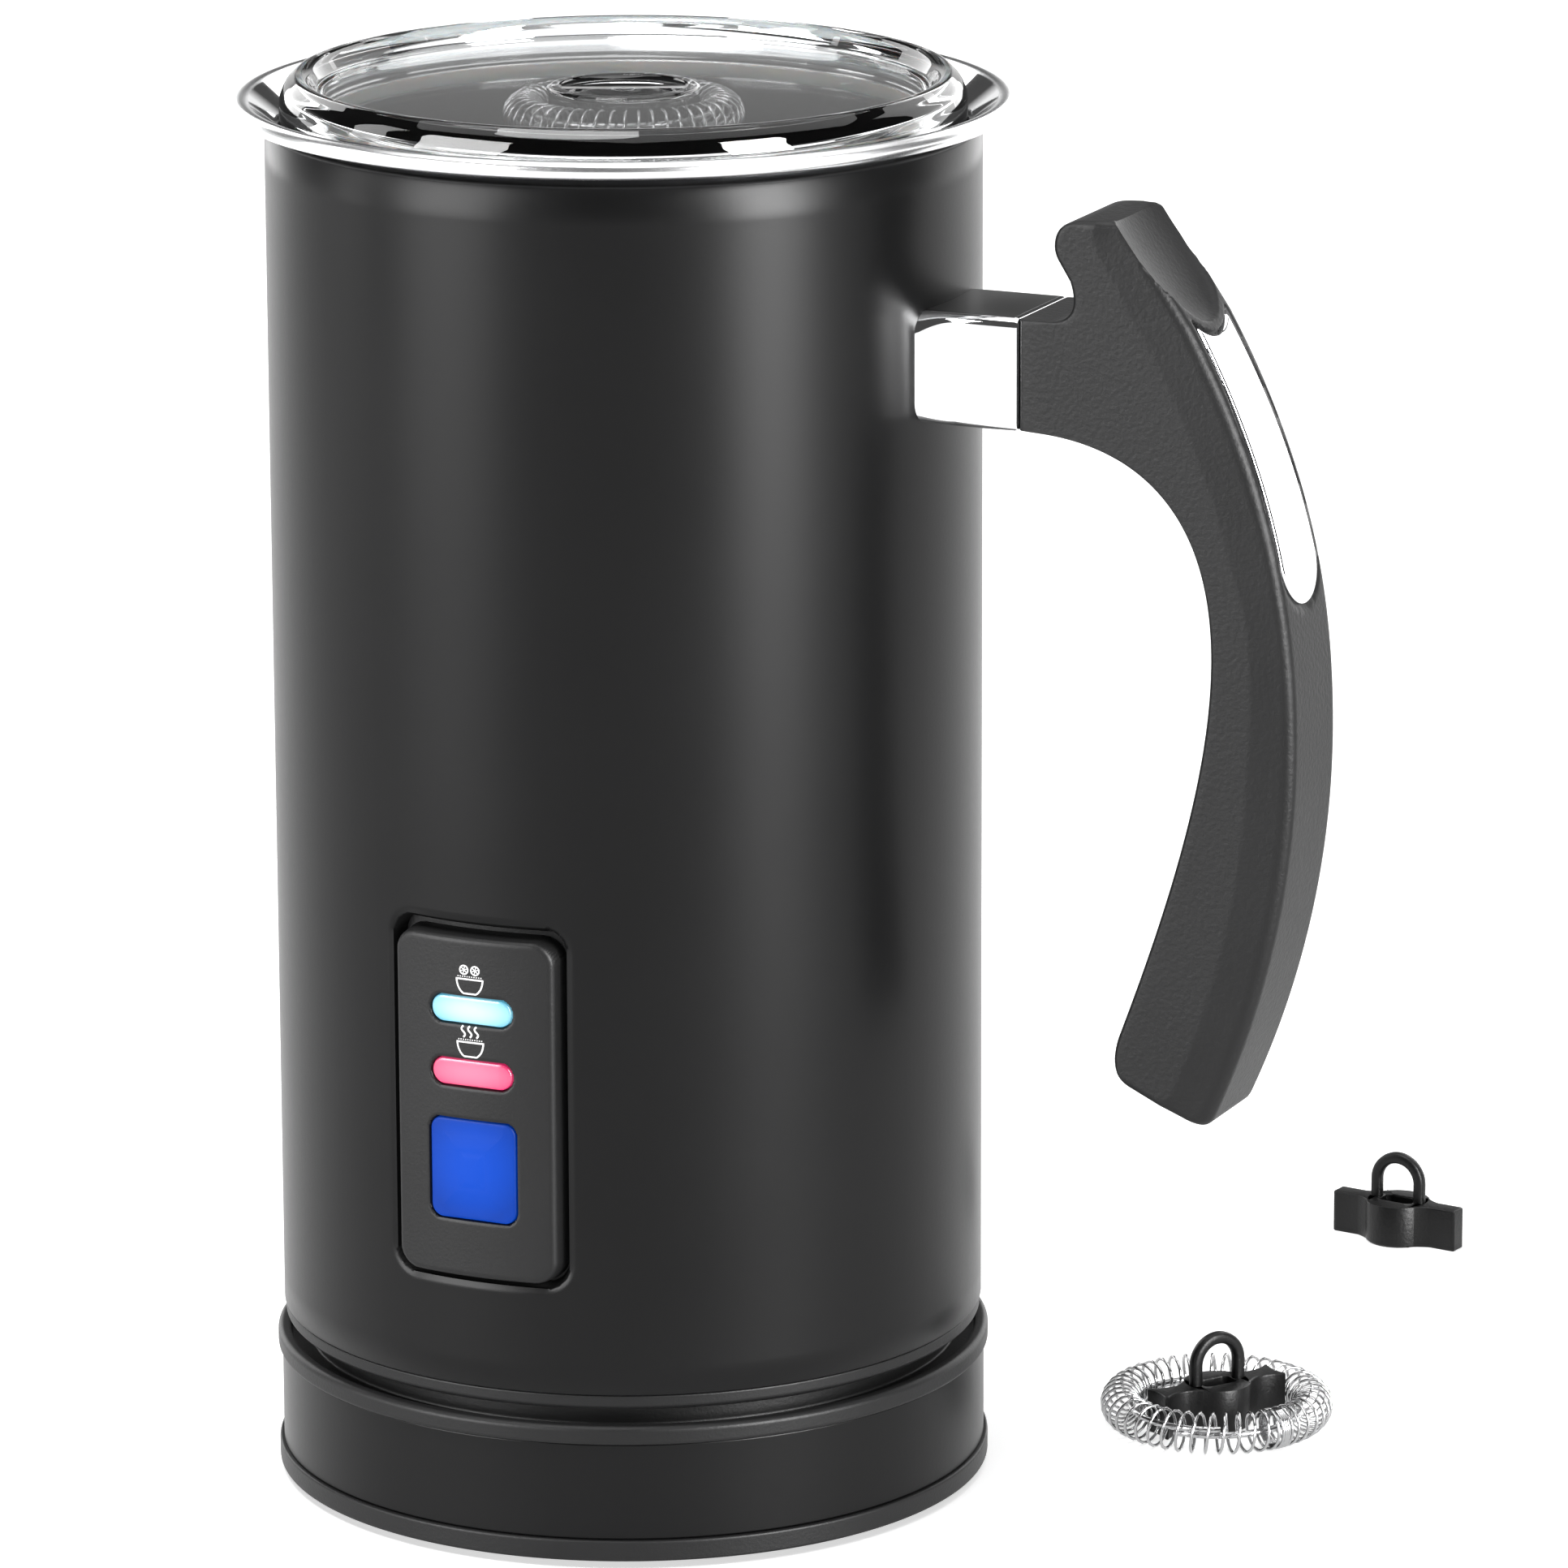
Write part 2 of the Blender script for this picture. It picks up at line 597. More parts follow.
def gland():
    """Grooved bush for the cord in the back of the base, turned about the Y axis."""
    low, high = corner_mm("cord_gland", 0), corner_mm("cord_gland", 1)
    z = (low[2] + high[2]) / 2
    outer = BASE_R + 0.1
    profile = softened([
        (3.1, low[1]), (5, low[1]), (5, low[1] + 1.4), (4.1, low[1] + 1.4), (4.1, outer),
        (5.1, outer), (5.1, high[1]), (3.1, high[1])], 0.35)
    points, quads, caps = lathe(profile, 64)
    points = np.stack([points[:, 0], points[:, 2], z - points[:, 1]], -1)
    mesh_piece("cord_bush", points, quads, caps, "base", RUBBER, "rubber", ["cord_gland"])


# ---------- Jug ----------

def spaced(low, high, step):
    return np.linspace(low, high, max(2, int(round((high - low) / step)) + 1))


def shell():
    """The painted wall. Its outside is a grid of angle and height, drawn closer together
    round the panel, where it is pressed in: r = R - depth * smooth(-distance / lip)."""
    reach = WINDOW_HALF[0] + 3
    near = spaced(-reach, reach, 0.3)
    fan = np.arcsin(near / JUG_R) - TAU / 4
    rest = np.linspace(fan[-1], fan[0] + TAU, 150)[1:-1]
    angle = np.concatenate([fan, rest])
    low, high = WINDOW_Z - WINDOW_HALF[1] - 3, WINDOW_Z + WINDOW_HALF[1] + 3
    bottom, top = SHELL_FOOT + 0.2, SHELL_TOP - 0.2
    height = np.concatenate([spaced(bottom, low, 4), spaced(low, high, 0.3)[1:], spaced(high, top, 5)[1:]])
    r = np.full((height.size, angle.size), JUG_R)
    x, z = JUG_R * np.cos(angle)[None, :] + 0 * r, height[:, None] + 0 * r
    distance = rounded_distance(x, z - WINDOW_Z, WINDOW_HALF, 3.6)
    front = np.sin(angle)[None, :] < -0.7
    r -= front * (WINDOW_DEPTH * smooth(-distance / 0.5) + 0.28 * smooth(1 - distance / 0.9))
    wall = np.stack([r * np.cos(angle), r * np.sin(angle), z], -1)
    inner = JUG_R - 3.0
    edge = [(JUG_R - 0.2, SHELL_TOP), (inner, SHELL_TOP), (inner, SHELL_FOOT), (JUG_R - 0.2, SHELL_FOOT)]
    closing = [np.stack([q * np.cos(angle), q * np.sin(angle), h + 0 * angle], -1) for q, h in edge]
    rings = np.concatenate([wall, closing])
    points, quads, _ = loft(rings, wrap=True)
    mesh_piece("painted_shell", points, quads, [], "jug", PAINT, "satin_black", ["outer_shell"], crease=50)


def foot_ring():
    inside = JUG_R - 1.2
    ring = softened([
        (17, JUG_BOTTOM), (JUG_R - 0.8, JUG_BOTTOM), (JUG_R - 0.2, JUG_BOTTOM + 0.6),
        (JUG_R - 0.2, SHELL_FOOT - 0.05), (inside, SHELL_FOOT - 0.05), (inside, SHELL_FOOT + 10),
        (inside - 2, SHELL_FOOT + 10), (inside - 2, JUG_BOTTOM + 2), (17, JUG_BOTTOM + 2)], 0.25)
    mesh_piece("jug_foot", *lathe(ring), "jug", SATIN_MOULD, "black_plastic", ["bottom_housing"])
    roof = JUG_BOTTOM + 8.9
    socket = softened([
        (2, 18), (2, roof), (7.6, roof), (7.6, 18.3), (8.4, 18.3), (8.4, roof), (13.4, roof),
        (13.4, JUG_BOTTOM + 0.2), (16.7, JUG_BOTTOM + 0.2), (16.7, JUG_BOTTOM + 2.02),
        (19.4, JUG_BOTTOM + 2.02), (19.4, JUG_BOTTOM + 4), (16.7, JUG_BOTTOM + 4), (16.7, roof + 2.5)],
        0.35, closed=False)
    socket = on_axis(18, socket, roof + 2.5)
    mesh_piece("jug_socket", *lathe(socket, 96), "jug", GRAINED, "black_plastic", ["jug_connector"])


def cone_height(r):
    """Height of the flared mouth's upper face at radius r."""
    return LIP_TOP - 5.4 + (r - POT_R) * 0.81


def pot():
    """Pot, flare and rolled lip. The lip's bead is a circle swept through 280 degrees."""
    bead_r = 1.25
    centre = np.array([LIP_R - bead_r, LIP_TOP - bead_r])
    a = np.radians(np.linspace(-145, 135, 22))
    bead = centre + bead_r * np.stack([np.cos(a), np.sin(a)], -1)
    outside = POT_R + 0.8
    drop = 1.04
    floor = POT_UNDER + 2
    skin = softened([
        (0, POT_UNDER), (outside - 3, POT_UNDER), (outside, POT_UNDER + 3),
        (outside, cone_height(outside) - drop),
        (centre[0] - bead_r, cone_height(centre[0] - bead_r) - drop), bead[0]], 1.0, closed=False)
    inside = softened([
        bead[-1], (POT_R + 0.02, cone_height(POT_R)), (POT_R, floor + 5), (POT_R - 5, floor), (0, floor)],
        2.2, closed=False, steps=9)
    inside[-1] = (0, floor)
    profile = np.concatenate([skin[:-1], bead, inside[1:]])
    mesh_piece("pot_and_lip", *lathe(profile, 224), "jug", POT, "polished_steel", ["pot_liner"], crease=60)
    pin = softened([(4, 98.02), (4, 98.7), (1.5, 98.9), (1.5, 106)], 0.3, closed=False)
    pin = np.concatenate([[(0, 98.02)], pin, [(1.1, 106), (0, 106)]])
    mesh_piece("spindle", *lathe(pin, 48), "jug", CHROME, "polished_steel", ["spindle_pin"])


# ---------- Control panel ----------
def panel():
    """Bezel: a plate on the cylinder whose outer radius steps down round its outline and
    over the three openings: r = R - sum of depth * smooth(distance / rounding)."""
    margin = 0.9
    x = spaced(-PANEL_HALF[0] - margin, PANEL_HALF[0] + margin, 0.22)
    z = spaced(-PANEL_HALF[1] - margin, PANEL_HALF[1] + margin, 0.22)
    gx, gz = np.meshgrid(x, z)
    outline = rounded_distance(gx, gz, PANEL_HALF, 3.2)
    rim = np.clip((outline + 0.85) / 0.85, 0, 1)
    r = PANEL_FACE_R - 0.65 * (1 - np.sqrt(1 - rim ** 2)) - 3.85 * smooth(outline / 0.35)
    openings = [
        (rounded_distance(gx, gz - (BUTTON_Z - PANEL_Z), BUTTON_HALF + 0.16, 1.9), 3.8),
        (rounded_distance(gx, gz - (COLD_LIGHT_Z - PANEL_Z), LIGHT_HALF + 0.16, 2.0), 2.0),
        (rounded_distance(gx, gz - (HOT_LIGHT_Z - PANEL_Z), LIGHT_HALF + 0.16, 2.0), 2.0),
    ]
    for distance, depth in openings:
        r = r - depth * smooth(-distance / 0.24) - 0.14 * smooth(1 - distance / 0.3)
    back = JUG_R - 2.7
    top = on_cylinder(gx, gz + PANEL_Z, r)
    under = on_cylinder(gx, gz + PANEL_Z, back + 0 * r)
    mesh_piece(
        "panel_bezel", *slab(top, under), "jug", SATIN_MOULD, "gloss_black", ["panel_frame"], crease=50)


def cushion(half, radius, rise, levels):
    """A low pad with a round-cornered outline. Its rings run up the side, over the edge and in
    to the middle: ring k is the outline pulled in by levels[k][0], standing at levels[k][1],
    with a crown of rise * (1 - (x / half)^2)(1 - (z / half)^2) on top."""
    rings = []
    for inset, height in levels:
        outline = rounded_ring(half, radius, min(inset, min(half) - 0.05), 12)
        crown = rise * (1 - (outline[:, 0] / half[0]) ** 2) * (1 - (outline[:, 1] / half[1]) ** 2)
        rings.append(np.column_stack([outline, height + crown * (inset > 0)]))
    return np.array(rings)


def pad_on_panel(name, half, radius, z, face, rise, depth, body, finish, slot, node, dish=0.0):
    """A cushion bent on to the panel's cylinder at height z."""
    edge = 0.35
    turn = np.linspace(0, TAU / 4, 6)
    levels = [(0, -depth)] + [(edge * (1 - np.cos(t)), edge * (np.sin(t) - 1)) for t in turn]
    levels += [(inset, 0.0) for inset in np.linspace(edge + 0.25, min(half), 18)]
    rings = cushion(np.array(half), radius, rise, levels)
    if dish:
        away = np.hypot(rings[..., 0], rings[..., 1])
        rings[..., 2] -= dish * np.exp(-(((away - 3.1) / 0.35) ** 2)) * (rings[..., 2] > -0.3)
    bent = on_cylinder(rings[..., 0], rings[..., 1] + z, face + rings[..., 2])
    mesh_piece(name, *loft(bent), body, finish, slot, [node], crease=50)


def stroke(path, width, lift=0.03):
    """A printed line on the panel's face: a flat band of this width along (x, z) points."""
    path = np.asarray(path, float)
    along = unit(np.gradient(path, axis=0))
    side = np.stack([-along[:, 1], along[:, 0]], -1) * width / 2
    corners = [(path + side, lift), (path - side, lift), (path - side, -0.1), (path + side, -0.1)]
    rings = [on_cylinder(p[:, 0], p[:, 1], PANEL_FACE_R + h) for p, h in corners]
    return loft(np.stack(rings, 1))


def circle_path(x, z, r, n=20):
    a = np.linspace(0, TAU, n)
    return np.stack([x + r * np.cos(a), z + r * np.sin(a)], -1)


def symbols():
    """A bowl over each light: with two ice balls over the cold one and steam over the hot one."""
    parts = []
    for light_z in (COLD_LIGHT_Z, HOT_LIGHT_Z):
        foot = light_z + LIGHT_HALF[1] + 0.6
        left = bezier((-2.0, foot + 2.05), (-1.9, foot + 0.6), (-0.95, foot), n=12)
        right = left[::-1] * (-1, 1)
        parts.append(stroke(np.concatenate([left, right]), 0.24))
        parts.append(stroke([(-2.1, foot + 2.05), (0, foot + 2.05), (2.1, foot + 2.05)], 0.24))
        for x in np.linspace(-1.75, 1.75, 11):
            parts.append(stroke([(x - 0.08, foot + 2.42), (x, foot + 2.42), (x + 0.08, foot + 2.42)], 0.16))
    ice_z = COLD_LIGHT_Z + LIGHT_HALF[1] + 0.6 + 3.35
    for x in (-0.85, 0.85):
        parts.append(stroke(circle_path(x, ice_z, 0.62), 0.2))
        for turn in np.arange(3) * TAU / 6 + 0.3:
            arm = 0.52 * np.array([np.cos(turn), np.sin(turn)])
            parts.append(stroke([np.array([x, ice_z]) - arm, (x, ice_z), np.array([x, ice_z]) + arm], 0.13))
    steam_z = HOT_LIGHT_Z + LIGHT_HALF[1] + 0.6 + 2.75
    t = np.linspace(0, 1, 16)
    for x in (-1.05, -0.05, 0.95):
        parts.append(stroke(np.stack([x + 0.27 * np.sin(TAU * t), steam_z + 1.6 * t], -1), 0.26))
    mesh_piece("panel_symbols", *merged(parts), "jug", PRINT, "white_print")


def controls():
    panel()
    button_face = PANEL_FACE_R - 0.05
    pad_on_panel("blue_button", BUTTON_HALF, 1.8, BUTTON_Z, button_face, 0.12, 2.85, "button", BLUE,
                 "blue_button", "power_button", dish=0.05)
    pad_on_panel("cold_lens", LIGHT_HALF, 1.88, COLD_LIGHT_Z, PANEL_FACE_R - 0.1, 0.1, 1.85, "jug", CYAN,
                 "cyan_light", "cold_light_pipe")
    pad_on_panel("hot_lens", LIGHT_HALF, 1.88, HOT_LIGHT_Z, PANEL_FACE_R - 0.1, 0.1, 1.85, "jug", PINK,
                 "pink_light", "hot_light_pipe")
    symbols()


# ---------- Handle ----------
def bracket():
    """Polished sleeve: a round-cornered box outline in Y and Z, carried along X from the shell,
    where x = sqrt(R^2 - y^2), to the grip. Near the shell it flares by 1.5 (1 - t)^2."""
    rings = []
    for t in np.linspace(0, 1, 12):
        flare = (1 - t) ** 2
        outline = rounded_ring(BRACKET_HALF + (1.5 * flare, 0), 1.3 + 1.9 * flare, 0.0, 9)
        x = np.sqrt(JUG_R ** 2 - outline[:, 0] ** 2) + 0.02 + 5 * t
        rings.append(np.column_stack([x, outline[:, 0], outline[:, 1] + BRACKET_Z]))
    for inset, x in ((0.0, GRIP_X - 0.5), (0.12, GRIP_X - 0.15), (0.4, GRIP_X - 0.02)):
        outline = rounded_ring(BRACKET_HALF, 1.3, inset, 9)
        rings.append(np.column_stack([np.full(len(outline), x), outline[:, 0], outline[:, 1] + BRACKET_Z]))
    points, quads, caps = loft(np.array(rings))
    mesh_piece("bracket_sleeve", points, quads, caps, "jug", SLEEVE, "polished_steel", ["handle_bracket"])


# Side view of the grip, measured from the bracket's end at its middle height.
THUMB_TOP = np.array([15.9, 21.2])
PALM_TOP = np.array([24.8, 8.4])
def outline_of(start, *curves):
    """Curves laid end to end: each is (number of points, control points after the last end)."""
    pieces = []
    for count, *controls in curves:
        pieces.append(bezier(start, *controls, n=count))
        start = controls[-1]
    return pieces


FINGER_SIDE = outline_of(
    (9.1, 22.1), (40, (5.4, 21.8), (5.1, 18.9)), (40, (4.9, 17.4), (5.9, 16)), (40, (7.4, 13.6)),
    (40, (9.2, 8.2), (4.5, 7.8)), (40, (0.03, 7.8)), (40, (0.03, -7.6)),
    (120, (16.5, -7.6), (28.4, -15.7), (28.4, -37.7)), (120, (28.4, -53.7), (22, -73.7), (15.1, -92.2)),
    (40, (13.4, -97.6), (16.9, -99.3)))
PALM_SIDE = outline_of(
    (13.7, 22.3), (40, (15.2, 22.3), THUMB_TOP), (80, PALM_TOP),
    (240, (36.5, -11.7), (40.5, -29.7), (40.5, -49.7)),
    (160, (40.5, -68.7), (36, -86.7), (29.1, -102.1)),
    (40, (28.1, -104.5), (25.7, -103.4)))
# Where lines across the grip start on the finger side and end on the palm side.
ACROSS = [
    ((9.1, 22.1), (13.7, 22.3)), ((5.1, 18.9), (16.9, 19.8)), ((5.9, 16), (19.5, 16)),
    ((7.4, 13.6), (21.5, 13.1)), ((7.75, 9.95), (24.2, 9.3)), ((4.5, 7.8), (25.9, 6.4)),
    ((0.03, 7.8), (27.5, 3.5)), ((0.03, -7.6), (33.35, -9.2)), ((14.7, -10.5), (36.3, -18)),
    ((21.55, -15.6), (38.35, -26.4)), ((28, -31.3), (40, -38.5)), ((28.4, -37.7), (40.3, -44)),
    ((24.2, -66), (38.6, -72)), ((15.1, -92.2), (30.3, -99.5)), ((16.9, -99.3), (25.7, -103.4)),
]
STEPS = [14, 10, 10, 14, 12, 12, 18, 20, 16, 18, 10, 40, 34, 16]


def run_of(pieces):
    """One polyline and the distance along it at each point."""
    line = np.concatenate(pieces)
    line = line[np.r_[True, np.linalg.norm(np.diff(line, axis=0), axis=1) > 1e-6]]
    return line, np.r_[0, np.cumsum(np.linalg.norm(np.diff(line, axis=0), axis=1))]


def matched(line, along, marks, counts):
    """Points on a polyline that pass the marks with a given number of steps between them."""
    at = [along[np.argmin(np.linalg.norm(line - mark, axis=1))] for mark in marks]
    places = np.concatenate([np.linspace(a, b, n, endpoint=False) for a, b, n in zip(at, at[1:], counts)])
    places = np.r_[places, at[-1]]
    return np.stack([np.interp(places, along, line[:, k]) for k in (0, 1)], -1)


def inlay_half_width(z):
    """Half width of the inlay: a half circle at its foot, then a slow taper."""
    taper = INLAY_HALF - 0.9 * np.clip((z - INLAY_FOOT) / (8 - INLAY_FOOT), 0, 1)
    drop = np.clip((INLAY_FOOT - z) / INLAY_HALF, 0, 1)
    return taper * np.sqrt(1 - drop ** 2)


def inlay_distance(y, z):
    """Distance to the inlay's outline, negative inside."""
    neck = z - (INLAY_NECK + 1.8 * (y / 5.3) ** 2)
    foot = np.hypot(y, z - INLAY_FOOT) - INLAY_HALF
    taper = np.abs(y) - (INLAY_HALF - 0.9 * np.clip((z - INLAY_FOOT) / (8 - INLAY_FOOT), 0, 1))
    return np.maximum(np.where(z < INLAY_FOOT, foot, taper), neck)


def grip():
    """The grip. Each section is a round-cornered rectangle that spans from the finger side F to
    the palm side P of the side view and from -w to w in Y. The thumb's hollow is the lower half
    of an ellipsoid that lies along the top of the palm side, and a shelf is sunk for the inlay."""
    fingers = matched(*run_of(FINGER_SIDE), [a for a, _ in ACROSS], STEPS)
    palm = matched(*run_of(PALM_SIDE), [b for _, b in ACROSS], STEPS)
    span = palm - fingers
    length = np.linalg.norm(span, axis=1)
    span /= length[:, None]
    ahead = unit(np.gradient(palm, axis=0))
    lean = np.clip(np.abs(span[:, 0] * ahead[:, 1] - span[:, 1] * ahead[:, 0]), 0.3, 1)
    from_end = run_of([(palm + fingers) / 2])[1]
    from_end = np.minimum(from_end, from_end[::-1].max() - from_end)
    soft = 1.0
    tip = np.clip(1 - from_end / soft, 0, 1)
    half = GRIP_HALF - soft * (1 - np.sqrt(1 - tip ** 2))
    corner = np.minimum(2.2, 0.3 * length)
    inner_corner = np.minimum(0.8, 0.3 * length)

    arc = np.linspace(0, TAU / 4, 8)
    rows = []
    across = np.linspace(-1, 1, 38)
    for y in across:
        rows.append((length, y * (half - corner)))
    for a in arc[1:]:
        rows.append((length - corner * (1 - np.cos(a)), half - 0.55 - (corner - 0.55) * (1 - np.sin(a))))
    ridge = np.minimum(6.5 / lean, 0.5 * length)
    for t in (0.35, 0.7, 0.92, 1.0, 1.08):
        d = corner + (ridge - corner) * t
        rows.append((length - d, half - 0.55 * np.clip(1 - t, 0, 1)))
    inner_span = length - ridge * 1.08
    for t in np.linspace(0.12, 1, 8):
        rows.append((inner_corner + (inner_span - inner_corner) * (1 - t), half))
    for a in arc[1:]:
        rows.append((inner_corner * (1 - np.sin(a)), half - inner_corner * (1 - np.cos(a))))
    mirrored = [(u, -y) for u, y in rows[len(across):]][::-1]
    for t in np.linspace(1, -1, 12)[1:-1]:
        rows.append((0 * length, t * (half - inner_corner)))
    rows += mirrored
    u = np.stack([row[0] for row in rows], 1)
    y = np.stack([row[1] for row in rows], 1)
    x = fingers[:, :1] + u * span[:, :1]
    z = fingers[:, 1:] + u * span[:, 1:]

    normal = np.array([PALM_TOP[1] - THUMB_TOP[1], THUMB_TOP[0] - PALM_TOP[0]])
    normal = -normal / np.linalg.norm(normal)
    run = np.array([normal[1], -normal[0]])
    height = (x - THUMB_TOP[0]) * normal[0] + (z - THUMB_TOP[1]) * normal[1]
    along = (x - THUMB_TOP[0]) * run[0] + (z - THUMB_TOP[1]) * run[1]
    bowl = -2.3 * np.sqrt(np.clip(1 - (along / 15.9) ** 2 - (y / 9.3) ** 2, 0, 1))
    sink = np.where((u > 0.5 * length[:, None]) & (height > bowl), height - bowl, 0)
    sink *= (height > -3) & (bowl < 0)
    x, z = x - sink * normal[0], z - sink * normal[1]

    outside = inlay_distance(y, z)
    face = smooth((u - (length - corner * 0.8)[:, None]) / (0.4 * corner)[:, None])
    shelf = 0.95 * smooth((0.75 - outside) / 0.45) * face * (u > 0.5 * length[:, None])
    x, z = x - shelf * span[:, :1], z - shelf * span[:, 1:]
    rings = np.stack([GRIP_X + x, y, BRACKET_Z + z], -1)
    mesh_piece("grip", *loft(rings), "jug", GRIP_BLACK, "black_plastic", ["handle_grip"], crease=52)


def inlay():
    """Polished strip let into the palm side: y = a * half width, z rises with the row and bends
    up at its neck with a^2, and x follows the palm side."""
    line, _ = run_of(PALM_SIDE)
    order = np.argsort(line[:, 1])
    a = np.sin(np.linspace(-TAU / 4, TAU / 4, 41))[None, :]
    v = (1 - np.cos(np.linspace(0, math.pi, 70)))[:, None] / 2
    base_z = INLAY_FOOT - INLAY_HALF + v * (INLAY_NECK - INLAY_FOOT + INLAY_HALF)
    half = inlay_half_width(base_z)
    y = a * half
    z = base_z + 1.8 * a ** 2 * smooth((v - 0.7) / 0.3)
    x = np.interp(z, line[order, 1], line[order, 0])
    edge = np.clip(1 + inlay_distance(y, z) / 0.5, 0, 1)
    lift = 0.05 - 0.35 * (1 - np.sqrt(1 - edge ** 2)) + 0.12 * (1 - (y / GRIP_HALF) ** 2)
    top = np.stack([GRIP_X + x + lift, y, BRACKET_Z + z], -1)
    under = top.copy()
    under[..., 0] = GRIP_X + x - INLAY_THICK
    mesh_piece("grip_inlay", *slab(top, under), "jug", CHROME, "polished_steel", ["handle_inlay"], crease=60)


# ---------- Lid ----------
def lid():
    window_top, window_r = LIP_TOP + 0.6, LID_R - 5.4
    skirt, low = POT_R - 1.4, LIP_TOP - 5.4 - 1.7
    high = low + 2.2
    profile = softened([
        (1.4, window_top - 7.5), (1.4, window_top - 2), (skirt - 2.4, window_top - 2), (skirt - 2.4, low - 1),
        (skirt, low - 1), (skirt, low - 0.05), (skirt - 0.9, low - 0.05), (skirt - 0.9, high + 0.05),
        (skirt, high + 0.05), (POT_R + 0.3, cone_height(POT_R + 0.3) + 0.4),
        (LID_R, cone_height(LID_R) + 0.1), (LID_R, LIP_TOP - 0.4), (LID_R - 0.8, LIP_TOP + 1.7),
        (LID_R - 2.5, LID_CREST + 0.25), (LID_R - 3.9, LID_CREST - 0.3), (window_r + 0.3, window_top + 0.2),
        (window_r, window_top), (10.55, window_top), (10.25, window_top + 0.4), (8.9, window_top + 0.4),
        (8.6, window_top + 0.15)], 0.7, closed=False, steps=6)
    profile[:, 1] = np.minimum(profile[:, 1], LID_CREST)
    profile = on_axis(window_top - 7.5, profile, window_top + 0.15)
    mesh_piece("lid", *lathe(profile, 224), "lid", CLEAR, "clear_lid", ["lid_cover"], crease=60)
    seal = softened([
        (skirt - 0.85, low), (skirt + 0.2, low), (POT_R - 0.1, low + 0.5), (POT_R - 0.1, low + 1.2),
        (skirt + 0.2, high), (skirt - 0.85, high)], 0.3)
    mesh_piece("lid_seal", *lathe(seal, 160), "lid", SILICONE, "silicone", ["lid_gasket"])


# ---------- Whisks ----------

def placed(points, node, flipped=False, turn=0.0):
    """Points of a whisk drawn standing at the origin, put where its hub stands: turned about Z,
    and turned over first if it hangs."""
    points = np.asarray(points, float).reshape(-1, 3)
    low, high = corner_mm(node, 0), corner_mm(node, 1)
    c, s = math.cos(turn), math.sin(turn)
    x, y = points[:, 0] * c - points[:, 1] * s, points[:, 0] * s + points[:, 1] * c
    z = high[2] - points[:, 2] if flipped else low[2] + points[:, 2]
    if flipped:
        y = -y
    middle = (low + high) / 2
    return np.stack([x + middle[0], y + middle[1], z], -1)


def prism(outline, low, high, edge=0.28):
    """An upright solid with this (x, y) outline and rounded upper and lower edges: each ring is
    the outline pulled in along its corners' bisectors."""
    outline = np.asarray(outline, float)
    ahead = np.roll(outline, -1, axis=0) - np.roll(outline, 1, axis=0)
    inward = np.stack([-ahead[:, 1], ahead[:, 0]], -1) / np.linalg.norm(ahead, axis=1)[:, None]
    turn = np.linspace(0, TAU / 4, 5)
    levels = [(edge * (1 - np.sin(t)), low + edge * (1 - np.cos(t))) for t in turn]
    levels += [(inset, low + high - z) for inset, z in levels[::-1]]
    rings = [np.column_stack([outline + inward * inset, np.full(len(outline), z)]) for inset, z in levels]
    return loft(np.array(rings))


def hub_boss():
    """The round boss with its slot: a torus-like skin between the outer circle and the slot,
    both drawn from the same angles."""
    a = np.linspace(0, TAU, 96, endpoint=False)
    outer = np.stack([np.cos(a), np.sin(a)], -1)
    reach = np.maximum(np.abs(np.cos(a)) / 2.75, np.abs(np.sin(a)) / 1.6)
    slot = outer / reach[:, None]
    slot = np.sign(slot) * np.minimum(np.abs(slot), [2.75, 1.6])
    corner = np.hypot(slot[:, 0] / 2.75, slot[:, 1] / 1.6)
    slot = slot * np.minimum(1, 1.22 / corner)[:, None]
    edge = 0.3
    levels = [(5 - edge, 0), (5, edge), (5, HUB_H - edge), (5 - 0.09, HUB_H - 0.09), (5 - edge, HUB_H)]
    skins = [np.column_stack([outer * r, np.full(96, z)]) for r, z in levels]
    wells = [(1.1, HUB_H), (1.02, HUB_H - 0.12), (1.0, HUB_H - 0.35), (1.0, 0)]
    skins += [np.column_stack([slot * k, np.full(96, z)]) for k, z in wells]
    return loft(np.array(skins), wrap=True)


def hub_arm(reach, flare, side):
    """One arm of a hub, from inside the boss out to its end, which cradles the coil if it flares."""
    thin = 1.5
    root = bezier((3.4, 3.3), (5.0, 1.9), (6.4, thin), n=10)
    if flare > 2 * thin:
        swell = bezier((reach - 3.4, thin), (reach - 1.7, thin + 0.1), (reach - 0.3, flare / 2), n=10)
        tip = bezier((reach, flare / 2 - 0.4), (reach - 0.75, 0), (reach, 0.4 - flare / 2), n=9)
    else:
        swell = bezier((reach - 1.4, thin), (reach - 0.3, thin), n=4)
        tip = bezier((reach, thin - 0.25), (reach, 0.25 - thin), n=4)
    upper = np.concatenate([root, swell])
    outline = np.concatenate([upper, tip, upper[::-1] * (1, -1)])[::-1]
    return prism(outline * side, 0.0, HUB_H)


